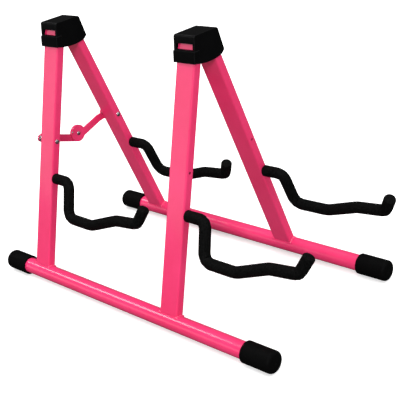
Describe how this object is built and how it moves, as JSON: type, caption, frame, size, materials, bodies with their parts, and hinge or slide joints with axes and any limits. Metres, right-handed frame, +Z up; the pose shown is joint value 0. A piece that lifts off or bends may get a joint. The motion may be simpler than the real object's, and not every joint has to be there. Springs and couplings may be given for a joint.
{
  "type": "guitar stand",
  "caption": "Folding floor stand for guitars: two A-frames on floor runners, hinged at black plastic heads, with a folding brace and foam-covered cradle arms.",
  "frame": {"origin": "on the floor, at the centre of the stand's bounding box", "axes": "+Z up; +Y runs along the floor runners towards the rear, so the cradle arms point towards -Y; +X runs across the A-frames from the left half to the right half as seen from the front"},
  "size_m": [0.3022, 0.6312, 0.4079],
  "materials": {
    "powder_coat": "glossy hot-pink powder coat",
    "head_plastic": "black moulded plastic, satin",
    "foam": "black closed-cell foam",
    "cap_rubber": "black rubber",
    "arm_steel": "plain drawn steel",
    "rivet_zinc": "bright zinc plate"
  },
  "bodies": {
    "left_half": {"runner_left": "powder_coat", "cap_left_front": "cap_rubber", "leg_front_left": "powder_coat", "arm_rod_front_left": "arm_steel", "arm_foam_front_left": "foam", "cap_left_rear": "cap_rubber", "leg_rear_left": "powder_coat", "arm_rod_rear_left": "arm_steel", "arm_foam_rear_left": "foam", "hinge_housing_front": "head_plastic", "hinge_housing_rear": "head_plastic", "hinge_pin_front": "arm_steel", "hinge_pin_rear": "arm_steel", "brace_rivet_left": "rivet_zinc", "brace_spacer_left": "rivet_zinc"},
    "right_half": {"runner_right": "powder_coat", "cap_right_front": "cap_rubber", "leg_front_right": "powder_coat", "arm_rod_front_right": "arm_steel", "arm_foam_front_right": "foam", "cap_right_rear": "cap_rubber", "leg_rear_right": "powder_coat", "arm_rod_rear_right": "arm_steel", "arm_foam_rear_right": "foam", "hinge_knuckle_front": "head_plastic", "hinge_knuckle_rear": "head_plastic", "hinge_end_pad_front": "head_plastic", "hinge_end_pad_rear": "head_plastic", "brace_rivet_right": "rivet_zinc", "brace_spacer_right": "rivet_zinc"},
    "link_right": {"brace_link_right": "powder_coat"},
    "link_left": {"brace_link_left": "powder_coat", "brace_rivet_knee": "rivet_zinc"}
  },
  "joints": [
    {"name": "fold", "type": "hinge", "parent": "left_half", "child": "right_half", "pos_m": [0, 0, 0.38092], "axis": [0, 1, 0], "range_deg": [0, 32]},
    {"name": "brace_right_pivot", "type": "hinge", "parent": "right_half", "child": "link_right", "pos_m": [0.06694, 0.2478, 0.22586], "axis": [0, 1, 0], "range_deg": [-72.5, 0.5]},
    {"name": "brace_knee", "type": "hinge", "parent": "link_right", "child": "link_left", "pos_m": [0.005, 0.2492, 0.20842], "axis": [0, 1, 0], "range_deg": [-0.5, 110]}
  ],
  "couplings": [
    {"joint": "brace_right_pivot", "follows": "fold", "ratio": -2.2491},
    {"joint": "brace_knee", "follows": "fold", "ratio": 3.4246}
  ]
}
